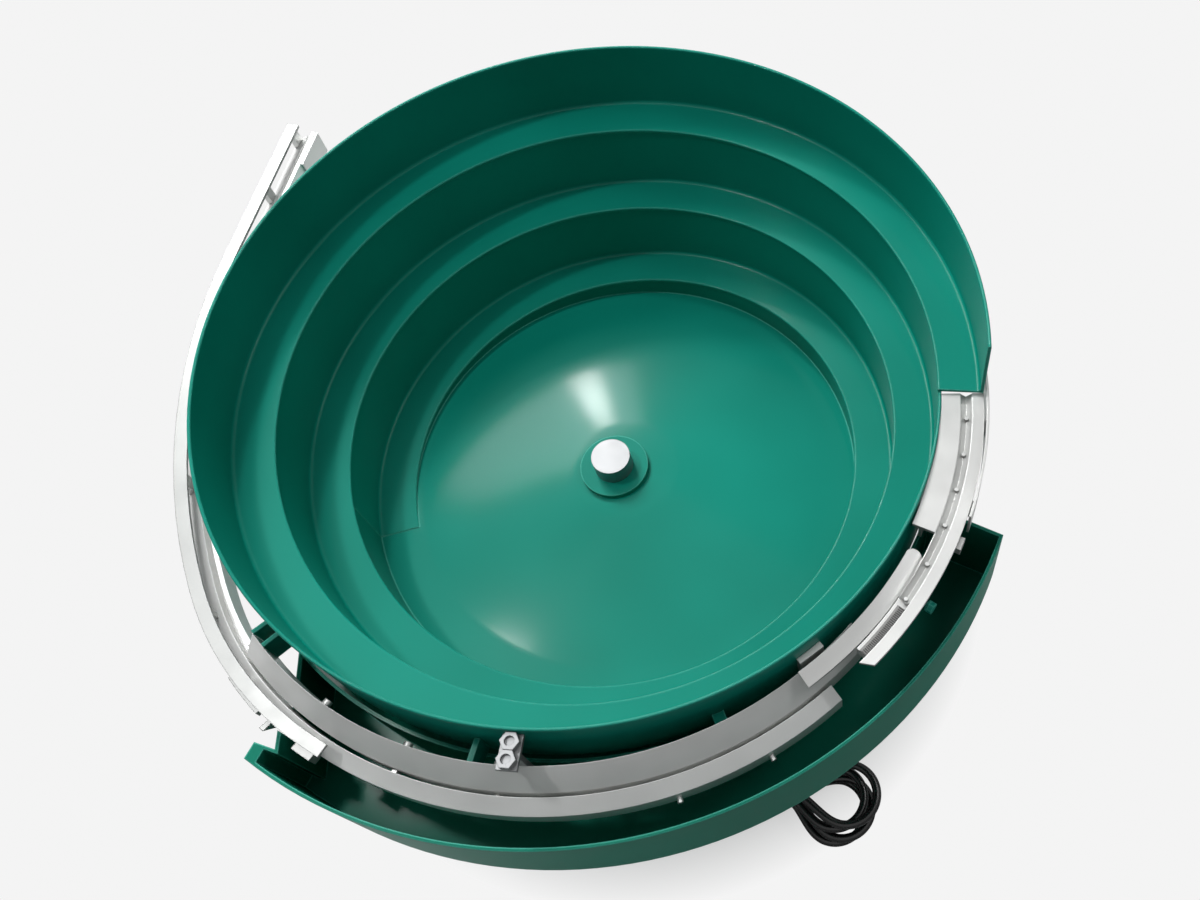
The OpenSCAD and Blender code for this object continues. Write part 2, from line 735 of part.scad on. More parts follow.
// Screw ends that stand out of the outer rail's outside face.
module outer_studs() {
    color(STEEL) for (a = [290.5, 303.5]) at(rail_c, rail_r - outer_in, a, slot_z - 13)
        rotate([0, 90, 0]) cylinder(r = 1.6, h = 3.5, $fn = 32);
}

// ---- Brackets ----

// A radial strap at angle a that runs from the bowl's wall out to the inner rail's leg.
module strap(a, width, z1, z2) {
    difference() {
        at(bowl_c, 200, a, z1) translate([0, -width / 2, 0]) cube([40, width, z2 - z1]);
        wall_cut(a);
        translate([rail_c.x, rail_c.y, z1 - 1]) difference() {
            cylinder(r = 300, h = z2 - z1 + 2, $fn = 96);
            translate([0, 0, -1]) cylinder(r = inner_r, h = z2 - z1 + 4, $fn = 180);
        }
    }
}

module rail_arm() {
    color(GREEN) {
        strap(224.6, 2.5, slot_z - 6, slot_z + 14);
        strap(227, 2.5, slot_z - 6, slot_z + 13);
    }
}
module rail_gusset() { color(GREEN) strap(261.5, 3, slot_z - 7, slot_z + 12); }
module rail_clip() { color(GREEN) strap(295.5, 7, slot_z - 6, slot_z + 4); }

link_a = 268;

// A plate from the bowl's wall out over the inner rail, with a leg down to the rail's inner
// face.
link_z = slot_z + 29;

module link_plate() {
    color(STEEL) union() {
        difference() {
            at(bowl_c, 200, link_a, link_z) translate([0, -5.5, 0]) cube([35, 11, 3]);
            wall_cut(link_a);
        }
        strap_leg(link_a, 11, slot_z - 2, link_z + 0.5);
    }
}

// A leg at angle a against the inner face of the inner rail.
module strap_leg(a, width, z1, z2) {
    difference() {
        at(bowl_c, 200, a, z1) translate([0, -width / 2, 0]) cube([40, width, z2 - z1]);
        translate([rail_c.x, rail_c.y, z1 - 1]) difference() {
            cylinder(r = 300, h = z2 - z1 + 2, $fn = 96);
            translate([0, 0, -1]) cylinder(r = inner_r, h = z2 - z1 + 4, $fn = 180);
        }
        translate([rail_c.x, rail_c.y, z1 - 1]) cylinder(r = inner_r - 3, h = z2 - z1 + 2,
            $fn = 180);
    }
}

// Two nuts in a line on the link plate.
module link_bolts() {
    color(STEEL) for (d = [4.7, 14]) at(bowl_c, wall_r(link_a) + d, link_a, link_z + 3)
        rotate([0, 0, 30]) difference() {
            hex(9, 4.5);
            translate([0, 0, 2.5]) cylinder(r = 2.6, h = 3, $fn = 32);
        }
}

// The deeper plate on the inner bar at the rail's exit.
module exit_bracket() {
    color(STEEL) on_exit(box_pts(-bar_in - 1.5, -bar_in, slot_z - 13, slot_z + 4.6), 84,
        rail_exit);
}

// ---- Return pan ----

// The space in plan between the pan's two ends, where the left end is a list of corners.
module pan_area(left, right) {
    far = [[-210, -330], [330, -330], [360, right[1].y]];
    polygon(concat([[0, 0]], left, far, [right[1], right[0]]));
}

// A ring between the pan's inner and outer walls, thinned by t on each side.
module pan_ring(t) {
    difference() {
        translate([pan_c.x, pan_c.y]) circle(r = pan_r - t, $fn = 240);
        translate([pan_in_c.x, pan_in_c.y]) circle(r = pan_in_r + t, $fn = 240);
    }
}

module return_pan() {
    color(GREEN) translate([0, 0, pan_z]) difference() {
        linear_extrude(pan_h) intersection() {
            pan_ring(0);
            pan_area(pan_left, pan_right);
        }
        translate([0, 0, pan_t]) linear_extrude(pan_h) intersection() {
            pan_ring(pan_t);
            pan_area(pan_left_in, pan_right_in);
        }
        translate([pan_in_c.x, pan_in_c.y, pan_in_h])
            cylinder(r = pan_in_r + pan_t + 2, h = pan_h, $fn = 240);
        translate([0, 0, -pan_z]) band(rail_c, 205, rail_r + 1.8, slot_z - rail_h - 0.6,
            slot_z + 10, [200, 240]);
    }
}

// The sloping sheet that closes the gap from the pan's floor in to the bowl's underside.
module pan_apron() {
    color(GREEN) band_of(pan_in_c, [
        [179, floor_h - 4], [181.5, floor_h - 4], [pan_in_r + 3, pan_z], [pan_in_r + 0.5, pan_z]
    ], [229, 341]);
}

// Ribs under the bowl's floor that reach out and up to carry the pan.
module pan_ribs() {
    low = floor_h - 9;
    color(GREEN) for (a = rib_as) at([0, 0], 0, a, 0) translate([0, rib_t / 2, 0])
        rotate([90, 0, 0]) linear_extrude(rib_t) polygon([
            [110, floor_h - 3], [110, low], [195, low], [262, pan_z - 10], [262, pan_z],
            [226, pan_z], [183, floor_h - 8], [175, floor_h - 8], [172, floor_h - 3]
        ]);
}

rubber_feet();
base_plate();
magnet_bracket();
magnet_core();
magnet_coil();
lower_spring_blocks();
lower_clamp_plates();
lower_clamp_bolts();
leaf_springs();
lower_spacers();
upper_spacers();
upper_spring_blocks();
upper_clamp_plates();
upper_clamp_bolts();
armature();
top_plate();
bowl_ring();
cable_gland();
gland_nut();
cable_to_hank();
cable_hank();
cable_tie();
cable_to_plug();
plug();
bowl();
centre_washer();
centre_bolt();
tooling_bar();
discharge_plate();
groove_channel();
channel_screws();
outer_plate();
guard_strip();
guide_plate();
guide_bracket();
serrated_strip();
outer_bolt();
clip_bracket();
end_block();
inner_rail();
inner_bar();
outer_rail();
channel_floor();
cover_strip();
cover_spacers();
slot_spacers();
rail_lugs();
rail_screws();
outer_studs();
rail_arm();
rail_gusset();
rail_clip();
link_plate();
link_bolts();
exit_bracket();
return_pan();
pan_apron();
pan_ribs();
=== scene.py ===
import json
import math

import bmesh
import bpy
from mathutils import Matrix, Vector


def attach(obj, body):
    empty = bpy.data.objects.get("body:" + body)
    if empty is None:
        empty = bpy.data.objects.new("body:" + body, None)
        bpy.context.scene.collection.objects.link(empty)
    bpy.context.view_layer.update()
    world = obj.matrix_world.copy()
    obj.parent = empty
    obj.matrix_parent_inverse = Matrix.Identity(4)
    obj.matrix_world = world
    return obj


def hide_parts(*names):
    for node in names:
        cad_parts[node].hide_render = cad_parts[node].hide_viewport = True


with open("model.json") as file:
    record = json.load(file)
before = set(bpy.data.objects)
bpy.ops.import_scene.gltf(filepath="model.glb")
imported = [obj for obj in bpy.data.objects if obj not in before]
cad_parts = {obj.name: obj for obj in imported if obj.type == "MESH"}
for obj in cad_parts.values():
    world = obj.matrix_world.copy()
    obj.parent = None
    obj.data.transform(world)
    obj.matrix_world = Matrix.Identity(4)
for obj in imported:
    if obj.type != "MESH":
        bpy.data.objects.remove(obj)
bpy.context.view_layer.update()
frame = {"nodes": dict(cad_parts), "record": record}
nodes = frame["nodes"]
scene = bpy.context.scene
MM = 0.001
BASE, BOWL = "base", "bowl"

# ---------------------------------------------------------------- camera

CAM_PLACE = Vector((0.1852, -0.3612, 0.92363))
CAM_DOWN, CAM_ROLL = 63.46, 2.3      # degrees below level, and about the line of sight

cam_data = bpy.data.cameras.new("camera")
cam_data.sensor_width = 36
cam_data.lens = 36.27
cam_data.shift_x = -0.2369
cam_data.shift_y = 0.0086
cam_data.clip_start, cam_data.clip_end = 0.05, 50
cam = bpy.data.objects.new("camera", cam_data)
scene.collection.objects.link(cam)
tilt, roll = math.radians(CAM_DOWN), math.radians(CAM_ROLL)
back = Vector((0, -math.cos(tilt), math.sin(tilt)))
side, up = Vector((1, 0, 0)), Vector((0, math.sin(tilt), math.cos(tilt)))
cam_x = side * math.cos(roll) + up * math.sin(roll)
cam_y = up * math.cos(roll) - side * math.sin(roll)
cam.matrix_world = Matrix((
    (cam_x[0], cam_y[0], back[0], CAM_PLACE[0]),
    (cam_x[1], cam_y[1], back[1], CAM_PLACE[1]),
    (cam_x[2], cam_y[2], back[2], CAM_PLACE[2]),
    (0, 0, 0, 1),
))
scene.camera = cam
scene.view_settings.view_transform = "Standard"


# ---------------------------------------------------------------- mesh helpers

def piece(name, bm, body, sharp=35.0):
    """A piece made from a bmesh in metres, smooth except at edges sharper than given."""
    bmesh.ops.recalc_face_normals(bm, faces=bm.faces)
    limit = math.radians(sharp)
    for f in bm.faces:
        f.smooth = True
    for e in bm.edges:
        e.smooth = len(e.link_faces) == 2 and e.calc_face_angle(0) < limit
    me = bpy.data.meshes.new(name)
    bm.to_mesh(me)
    bm.free()
    ob = bpy.data.objects.new(name, me)
    scene.collection.objects.link(ob)
    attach(ob, body)
    return ob


def outline(bm, pts, centre=(0, 0), turn=0.0):
    """A closed outline of (radius, height) points in millimetres, standing on a radius."""
    c, s = math.cos(math.radians(turn)), math.sin(math.radians(turn))
    vs = [bm.verts.new(((centre[0] + r * c) * MM, (centre[1] + r * s) * MM, z * MM))
          for r, z in pts]
    return [bm.edges.new((vs[i], vs[(i + 1) % len(vs)])) for i in range(len(vs))]


def rounded(pts, radii, seg=4):
    """A polygon with its corners rounded, each by its own radius."""
    out, n = [], len(pts)
    for i, r in enumerate(radii):
        p = Vector(pts[i])
        if r <= 0:
            out.append(tuple(p))
            continue
        u = (Vector(pts[i - 1]) - p).normalized()
        v = (Vector(pts[(i + 1) % n]) - p).normalized()
        half = u.angle(v) / 2
        d = r / math.tan(half)
        a, b = p + u * d, p + v * d
        centre = p + (u + v).normalized() * (r / math.sin(half))
        for k in range(seg + 1):
            q = (a - centre).lerp(b - centre, k / seg).normalized() * r + centre
            out.append(tuple(q))
    return out


# ---------------------------------------------------------------- materials

def group(name, inputs, outputs):
    """A shader group with its sockets, and its input and output nodes."""
    g = bpy.data.node_groups.new(name, "ShaderNodeTree")
    for n, kind, value in inputs:
        g.interface.new_socket(n, in_out="INPUT", socket_type=kind).default_value = value
    for n, kind in outputs:
        g.interface.new_socket(n, in_out="OUTPUT", socket_type=kind)
    return g, g.nodes.new("NodeGroupInput"), g.nodes.new("NodeGroupOutput")


FLOAT, VECTOR = "NodeSocketFloat", "NodeSocketVector"


def build_painted_edge_highlight():
    """Where a piece's edges are, as the mask of a painted highlight along them, and the normal with
    those edges eased.
    """
    g, gin, gout = group(
        "painted_edge_highlight_group", [("Radius", FLOAT, 0.0008)], [("Mask", FLOAT), ("Normal", VECTOR)])
    bev = g.nodes.new("ShaderNodeBevel")
    bev.samples = 4
    geo = g.nodes.new("ShaderNodeNewGeometry")
    dot = g.nodes.new("ShaderNodeVectorMath")
    dot.operation = "DOT_PRODUCT"
    facing = g.nodes.new("ShaderNodeMapRange")
    facing.inputs["From Min"].default_value = 0.98
    facing.inputs["From Max"].default_value = 0.80
    g.links.new(gin.outputs["Radius"], bev.inputs["Radius"])
    g.links.new(bev.outputs[0], dot.inputs[0])
    g.links.new(geo.outputs["Normal"], dot.inputs[1])
    g.links.new(dot.outputs["Value"], facing.inputs["Value"])
    g.links.new(facing.outputs[0], gout.inputs["Mask"])
    g.links.new(bev.outputs[0], gout.inputs["Normal"])
    return g


def build_surface_grain():
    """Broad and fine variation over a surface, in Object coordinates."""
    g, gin, gout = group(
        "surface_grain",
        [("Stretch", VECTOR, (1, 1, 1)), ("Broad", FLOAT, 9.0), ("Fine", FLOAT, 260.0)],
        [("Broad", FLOAT), ("Fine", FLOAT)])
    tc = g.nodes.new("ShaderNodeTexCoord")
    mp = g.nodes.new("ShaderNodeMapping")
    g.links.new(tc.outputs["Object"], mp.inputs["Vector"])
    g.links.new(gin.outputs["Stretch"], mp.inputs["Scale"])
    for name, vec, detail in (("Broad", tc.outputs["Object"], 2.0), ("Fine", mp.outputs[0], 3.0)):
        n = g.nodes.new("ShaderNodeTexNoise")
        n.inputs["Detail"].default_value = detail
        g.links.new(vec, n.inputs["Vector"])
        g.links.new(gin.outputs[name], n.inputs["Scale"])
        g.links.new(n.outputs["Fac"], gout.inputs[name])
    return g


PAINTED_EDGE_HIGHLIGHT, SURFACE_GRAIN = build_painted_edge_highlight(), build_surface_grain()


def material(name):
    """An empty material with a Principled shader on its output."""
    m = bpy.data.materials.new(name)
    m.use_nodes = True
    nt = m.node_tree
    nt.nodes.clear()
    out = nt.nodes.new("ShaderNodeOutputMaterial")
    bsdf = nt.nodes.new("ShaderNodeBsdfPrincipled")
    nt.links.new(bsdf.outputs[0], out.inputs[0])
    return m, nt, bsdf


def placed(nt, tree, **values):
    """A shader group placed in a material, with its input values."""
    n = nt.nodes.new("ShaderNodeGroup")
    n.node_tree = tree
    for k, v in values.items():
        n.inputs[k].default_value = v
    return n


def ramp(nt, fac, stops):
    """A colour for each value, from stops of (position, colour)."""
    r = nt.nodes.new("ShaderNodeValToRGB")
    e = r.color_ramp.elements
    while len(e) < len(stops):
        e.new(0.5)
    for el, (pos, col) in zip(e, stops):
        el.position = pos
        el.color = (*col, 1)
    nt.links.new(fac, r.inputs[0])
    return r.outputs[0]


def span(nt, fac, lo, hi):
    """A value from 0 to 1 stretched to lie between lo and hi."""
    m = nt.nodes.new("ShaderNodeMapRange")
    m.inputs["To Min"].default_value = lo
    m.inputs["To Max"].default_value = hi
    nt.links.new(fac, m.inputs[0])
    return m.outputs[0]


def bump(nt, fac, strength, distance, normal):
    """A normal that follows fine relief on top of another normal."""
    b = nt.nodes.new("ShaderNodeBump")
    b.inputs["Strength"].default_value = strength
    b.inputs["Distance"].default_value = distance
    nt.links.new(fac, b.inputs["Height"])
    nt.links.new(normal, b.inputs["Normal"])
    return b.outputs[0]


def mixed(nt, fac, colour, edge):
    """The colour, turning to the edge colour where the mask is 1."""
    mx = nt.nodes.new("ShaderNodeMix")
    mx.data_type = "RGBA"
    nt.links.new(fac, mx.inputs["Factor"])
    nt.links.new(colour, mx.inputs["A"])
    mx.inputs["B"].default_value = (*edge, 1)
    return mx.outputs["Result"]


def green_coat(name, lo, hi, edge, rough=0.3, spec=0.05, coat=0.13):
    """The thick green lining: glossy, a little wavy, with a painted highlight making it paler along
    its edges.
    """
    m, nt, b = material(name)
    grain = placed(nt, SURFACE_GRAIN, Broad=7.0, Fine=300.0)
    edge_light = placed(nt, PAINTED_EDGE_HIGHLIGHT, Radius=0.0016)
    colour = ramp(nt, grain.outputs["Broad"], [(0.3, lo), (0.7, hi)])
    # painted highlight: the lining turns to the paler edge colour along its edges
    nt.links.new(mixed(nt, edge_light.outputs["Mask"], colour, edge), b.inputs["Base Color"])
    sheen = span(nt, grain.outputs["Broad"], rough - 0.05, rough + 0.08)
    nt.links.new(sheen, b.inputs["Roughness"])
    relief = bump(nt, grain.outputs["Fine"], 0.06, 0.0003, edge_light.outputs["Normal"])
    nt.links.new(relief, b.inputs["Normal"])
    b.inputs["Specular IOR Level"].default_value = spec
    b.inputs["Coat Weight"].default_value = coat
    b.inputs["Coat Roughness"].default_value = 0.12
    return m


def steel(name, colour=(0.60, 0.605, 0.595), rough=0.36, stretch=(1, 1, 14), metal=0.6):
    """Brushed sheet steel, with a painted highlight brightening its edges."""
    m, nt, b = material(name)
    grain = placed(nt, SURFACE_GRAIN, Stretch=stretch, Broad=22.0, Fine=90.0)
    edge_light = placed(nt, PAINTED_EDGE_HIGHLIGHT, Radius=0.0006)
    lo = tuple(c * 0.84 for c in colour)
    tone = ramp(nt, grain.outputs["Broad"], [(0.3, lo), (0.7, colour)])
    # painted highlight: a paler steel along the edges
    bright = tuple(min(1.0, c * 1.15) for c in colour)
    nt.links.new(mixed(nt, edge_light.outputs["Mask"], tone, bright), b.inputs["Base Color"])
    nt.links.new(span(nt, grain.outputs["Fine"], rough - 0.06, rough + 0.10), b.inputs["Roughness"])
    relief = bump(nt, grain.outputs["Fine"], 0.15, 0.0002, edge_light.outputs["Normal"])
    nt.links.new(relief, b.inputs["Normal"])
    b.inputs["Metallic"].default_value = metal
    return m


def plain(name, colour, rough, metal=0.0, grain_scale=120.0, strength=0.1, spec=0.5):
    """An even finish with a fine grain, for castings, rubber, plastic and oxide, and a painted
    highlight paler along its edges.
    """
    m, nt, b = material(name)
    grain = placed(nt, SURFACE_GRAIN, Broad=30.0, Fine=grain_scale)
    edge_light = placed(nt, PAINTED_EDGE_HIGHLIGHT, Radius=0.0006)
    lo = tuple(c * 0.8 for c in colour)
    tone = ramp(nt, grain.outputs["Broad"], [(0.35, lo), (0.65, colour)])
    # painted highlight: a paler tone along the edges
    pale = tuple(min(1.0, c * 1.6 + 0.01) for c in colour)
    nt.links.new(mixed(nt, edge_light.outputs["Mask"], tone, pale), b.inputs["Base Color"])
    nt.links.new(span(nt, grain.outputs["Fine"], rough - 0.05, rough + 0.06), b.inputs["Roughness"])
    relief = bump(nt, grain.outputs["Fine"], strength, 0.0003, edge_light.outputs["Normal"])
    nt.links.new(relief, b.inputs["Normal"])
    b.inputs["Metallic"].default_value = metal
    b.inputs["Specular IOR Level"].default_value = spec
    return m


GREEN_LO, GREEN_HI = (0.002, 0.205, 0.150), (0.004, 0.260, 0.195)
# painted highlights: the paler greens given to the lining's edges and to its lip, fold and rim
# lines
GREEN_HIGHLIGHT, GREEN_HOT_HIGHLIGHT = (0.13, 0.60, 0.48), (0.22, 0.72, 0.60)
M = {
    "green": green_coat("green_lining", GREEN_LO, GREEN_HI, GREEN_HIGHLIGHT),
    # a paler copy of the lining, a painted highlight for the lip, fold and rim lines
    "green_edge": green_coat("green_lining_painted_highlight", GREEN_HIGHLIGHT, GREEN_HOT_HIGHLIGHT, GREEN_HOT_HIGHLIGHT),
    "green_pan": green_coat(
        "green_lining_of_the_pan", (0.004, 0.170, 0.112), (0.008, 0.205, 0.138), GREEN_HIGHLIGHT,
        rough=0.42, spec=0.04, coat=0.04),
    "steel": steel("brushed_stainless"),
    # a darker steel for the serrated strip
    "dull_steel": steel("dark_strip_steel", (0.20, 0.20, 0.195), 0.46, metal=0.8),
    # a much paler copy of the steel for the rails: painted light on faces that the lamps barely
    # reach
    "rail_painted_light": steel("brushed_rail_finish_painted_light", (0.90, 0.905, 0.89), 0.42, metal=0.2),
    # a darker copy of the steel for the cover strip and lugs: painted shade that tones down the
    # lamps' reflections
    "cover_painted_shade": steel("darkened_cover_finish_painted_shade", (0.31, 0.315, 0.31)),
    "nut_steel": steel("zinc_plated_nut", (0.26, 0.265, 0.27), 0.42, metal=0.7),
    "black_steel": plain("black_oxide", (0.03, 0.03, 0.032), 0.38, 0.6),
    "spring": steel("spring_steel", (0.30, 0.32, 0.35), 0.3),
    "iron": plain("painted_casting", (0.20, 0.22, 0.22), 0.5, 0.0, 200, 0.3),
    "rubber": plain("rubber", (0.018, 0.018, 0.018), 0.75, 0.0, 300, 0.3),
    "lamination": steel("laminations", (0.32, 0.32, 0.33), 0.45, (1, 30, 1)),
    "coil": plain("winding", (0.30, 0.09, 0.03), 0.45),
    "black": plain("black_pvc", (0.010, 0.010, 0.011), 0.26, 0.0, 200, 0.05),
}
SLOTS = {
    "rubber": "rubber", "cast_iron": "iron", "lamination_steel": "lamination", "coil": "coil",
    "spring_steel": "spring", "plain_steel": "steel", "black_steel": "black_steel",
    "black_plastic": "black", "green_coat": "green", "stainless": "steel",
}
OWN_FINISH = {
    "centre_bolt": "nut_steel", "link_plate": "nut_steel", "link_bolts": "nut_steel",
    # the rails take the paler steel, a painted light
    "inner_rail": "rail_painted_light", "inner_bar": "rail_painted_light", "outer_rail": "rail_painted_light",
    # the cover strip and lugs take the darker steel, a painted shade
    "cover_strip": "cover_painted_shade", "rail_lugs": "cover_painted_shade", "serrated_strip": "dull_steel",
    "return_pan": "green_pan", "pan_apron": "green_pan",
}
for sub in frame["record"]["subparts"]:
    ob = nodes[sub["node"]]
    ob.data.materials.clear()
    ob.data.materials.append(M[OWN_FINISH.get(sub["node"], SLOTS[sub["material_slot"]])])


def dress(ob, finishes, slot_name, *replaced):
    """Gives a new piece its finishes and hides the solids that it stands for. Its record slot is
    not used.
    """
    ob.data.materials.clear()
    for mat in finishes.split():
        ob.data.materials.append(M[mat])
    if replaced:
        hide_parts(*replaced)
    return ob


# ---------------------------------------------------------------- cable

D = 6.5
GLAND_A, GLAND_R, GLAND_Z = 290, 156, 29     # where the cable leaves the gland
HANK_X, HANK_Y, HANK_TURN = 124, -181.6, -12  # the hank's middle and how it lies on the table


def local(x, y):
    """A place in the hank's own frame, in the frame of the whole object."""
    a = math.radians(HANK_TURN)
    return HANK_X + x * math.cos(a) - y * math.sin(a), HANK_Y + x * math.sin(a) + y * math.cos(a)


HANK_R, HANK_REACH, WAIST, JOIN = 22.0, 41.0, 3.5, 212
RUN_STEPS, BEND_STEPS, JOIN_STEPS, LAST_STEPS = 12, 16, 6, 12
LEFT_OUT = 12              # steps by which the last turn falls short
ON_TABLE = 16              # steps before the end at which the cable has come down to the table
# Distance out of the gland against how far the cable has dropped
FROM_GLAND = [(0, 0), (6, 0), (12, 0.4), (18, 0.8), (24, 0.5), (30, 0.1)]
# The last stretch, off the hank and up into the back of the plug
TO_PLUG = [
    (83, -152.7, 3.5), (79, -152.2, 4.0), (75.5, -151.7, 4.1), (72, -151.4, 4.3),
    (66.5, -151.4, 5.8), (62.5, -151.8, 7.3), (58, -152.6, 8.9), (52.86, -153.76, 10.5),
    (49, -154.8, 10.5),
]
TURNS, TOP_Z, LOW_Z = 3, 29.0, 3.4
# Turns of the hank against the way each one leans, in degrees, and its shift along the hank
LEAN = [(0, 0), (0.4, 7), (1.4, 2), (2.4, -4), (3.4, -8), (3.85, 0)]
SHIFT = [(0, 0), (0.4, 3), (1.4, -6), (2.4, 1), (3.4, -3), (3.85, 0)]


def eased(keys, s):
    """A value eased between keys of (turn, value)."""
    for (s0, v0), (s1, v1) in zip(keys, keys[1:]):
        if s <= s1:
            u = (s - s0) / (s1 - s0)
            return v0 + (v1 - v0) * u * u * (3 - 2 * u)
    return keys[-1][1]


def hank_loop():
    """One turn of the hank in its own frame, anticlockwise from where the cable joins it."""
    def bend(side, start, sweep, steps):
        angles = [math.radians(start + sweep * i / steps) for i in range(1, steps + 1)]
        return [(side * HANK_REACH + HANK_R * math.cos(a), HANK_R * math.sin(a)) for a in angles]

    def run(y_side, x0):
        out = []
        for i in range(1, 2 * RUN_STEPS + 1):
            x = x0 * (1 - i / RUN_STEPS)
            narrow = (1 - math.cos(math.pi * x / HANK_REACH)) / 2
            out.append((x, y_side * (WAIST + (HANK_R - WAIST) * narrow)))
        return out

    join = math.radians(JOIN)
    start = (-HANK_REACH + HANK_R * math.cos(join), HANK_R * math.sin(join))
    return ([start] + bend(-1, JOIN, 270 - JOIN, JOIN_STEPS) + run(-1, -HANK_REACH)
            + bend(1, -90, 180, BEND_STEPS) + run(1, HANK_REACH)
            + bend(-1, 90, JOIN - 90, LAST_STEPS))


def cable_path():
    """The cable's middle line from the gland, round the hank, to the plug."""
    g = math.radians(GLAND_A)
    pts = []
    for d, drop in FROM_GLAND:
        reach = GLAND_R + d
        pts.append((reach * math.cos(g), reach * math.sin(g), GLAND_Z - drop))
    loop = hank_loop()
    n = len(loop) - 1
    total = TURNS * n + n - LEFT_OUT
    for k in range(1, total + 1):
        x, y = loop[k % n]
        z = TOP_Z - (TOP_Z - LOW_Z) * min(1.0, k / (total - ON_TABLE))
        lean = math.radians(eased(LEAN, k / n))
        x, y = x * math.cos(lean) - y * math.sin(lean), x * math.sin(lean) + y * math.cos(lean)
        px, py = local(x + eased(SHIFT, k / n), y)
        pts.append((px, py, z))
    return pts + TO_PLUG


def cable_curve(name, path, radius):
    """A round cable along a path in millimetres, as one open spline."""
    cu = bpy.data.curves.new(name, "CURVE")
    cu.dimensions = "3D"
    cu.bevel_depth = radius * MM
    cu.bevel_resolution = 3
    cu.use_fill_caps = True
    line = cu.splines.new("POLY")
    line.points.add(len(path) - 1)
    for p, q in zip(line.points, path):
        p.co = (*(Vector(q) * MM), 1)
    ob = bpy.data.objects.new(name, cu)
    scene.collection.objects.link(ob)
    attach(ob, BASE)
    return ob


def smooth_path(pts, per):
    """A Catmull-Rom line through the points, with so many steps between two of them."""
    out = []
    n = len(pts)
    for i in range(n - 1):
        p0, p1 = Vector(pts[max(i - 1, 0)]), Vector(pts[i])
        p2, p3 = Vector(pts[i + 1]), Vector(pts[min(i + 2, n - 1)])
        for k in range(per):
            t = k / per
            out.append(0.5 * ((2 * p1) + (p2 - p0) * t + (2 * p0 - 5 * p1 + 4 * p2 - p3) * t * t
                              + (3 * p1 - p0 - 3 * p2 + p3) * t ** 3))
    out.append(Vector(pts[-1]))
    return out


cable_pts = smooth_path(cable_path(), 2)
cable = cable_curve("mains_cable", cable_pts, D / 2)
dress(cable, "black", "black_plastic", "cable_to_hank", "cable_hank", "cable_to_plug")

# ---------------------------------------------------------------- bowl

SPIRAL_X, START_A = 8.0, 199.0
FLOOR, R0, TRACK, RISE, SHEET, WALL = 165.0, 144.0, 25.0, 52.0, 2.0, 50.0
T_END = 2 + 199 / 360
TURN_STEP = 1.5             # degrees between the sections of the sweep
FLOOR_R, LOW_FLOOR = 173.0, FLOOR - 0.5
SLOPE_R, SLOPE_RUN, SLOPE_RISE, SLOPE_STEPS = 142, 108, 7.5, 27
BANK = 0.26                 # half the track's fall towards its wall
LIP_REACH, LIP_ROUND, FOOT_ROUND, FOLD_ROUND = 0.6, 0.95, 0.5, 2.2
RIM_T = T_END - 1           # where the wall's top becomes the bowl's free rim


def sp_r(t):
    """The track's inner radius after so many turns."""
    return R0 + TRACK * t


def sp_z(t):
    """The track's height after so many turns."""
    return FLOOR + RISE * t


def wound(bm, pts, t0, t1, only_above=None):
    """Winds a section of (radius, height) points round the spiral's axis, rising, and then
    lets each turned copy out by the spiral's growth."""
    part = bmesh.new()
    n = len(pts)
    steps = max(1, round((t1 - t0) * 360 / TURN_STEP))
    dt = (t1 - t0) / steps
    lift = RISE * dt * MM
    loop = outline(part, pts, (SPIRAL_X, 0), START_A - 360 * t0)
    bmesh.ops.spin(part, geom=list(part.verts) + loop, cent=(SPIRAL_X * MM, 0, 0), axis=(0, 0, 1),
                   dvec=(0, 0, lift), angle=math.radians(-360 * (t1 - t0)), steps=steps)
    part.verts.ensure_lookup_table()
    for i, v in enumerate(part.verts):
        k = i // n
        out = Vector((v.co.x - SPIRAL_X * MM, v.co.y, 0)).normalized()
        v.co += out * TRACK * dt * k * MM
        if only_above is not None and v.co.z - lift * k <= only_above * MM:
            v.co.z -= lift * k
    for ring in (part.verts[:n], part.verts[-n:]):
        bmesh.ops.contextual_create(part, geom=[e for e in part.edges if set(e.verts) <= set(ring)])
    me = bpy.data.meshes.new("part")
    part.to_mesh(me)
    part.free()
    bm.from_mesh(me)
    bpy.data.meshes.remove(me)


def track_part(bm, t0, t1, top_round):
    """The track's sheet and its outer wall from one turn to another."""
    r0, r1, z = sp_r(t0) - LIP_REACH, sp_r(t0 + 1), sp_z(t0)
    pts = rounded(
        [(r0, z - SHEET), (r1 + SHEET, z - SHEET), (r1 + SHEET, z + WALL), (r1, z + WALL),
         (r1, z - BANK), (r0, z + BANK)],
        [LIP_ROUND, FOOT_ROUND, top_round, top_round, FOLD_ROUND, LIP_ROUND])
    wound(bm, pts, t0, t1)


def paint_highlight_lines(bm):
    """Gives the track's inner lip and fold and the rim's top the lining's paler second finish, a
    painted highlight along these edges.
    """
    for f in bm.faces:
        c = f.calc_center_median() / MM
        x, y = c.x - SPIRAL_X, c.y
        r, turn = math.hypot(x, y), ((START_A - math.degrees(math.atan2(y, x))) / 360) % 1
        for k in range(3):
            t = turn + k
            off, up = r - sp_r(t), c.z - sp_z(t)
            lip = -0.9 < off < 0.9 and -1.6 < up < 0.6
            fold = TRACK - 1.4 < off < TRACK - 0.3 and 0.2 < up < 1.5
            if t <= T_END and (lip or fold):
                f.material_index = 1
            on_wall = TRACK - 0.2 < off < TRACK + 2.2
            if RIM_T - 0.002 < t <= T_END and on_wall and WALL - 0.6 < up < WALL + 0.2:
                f.material_index = 1


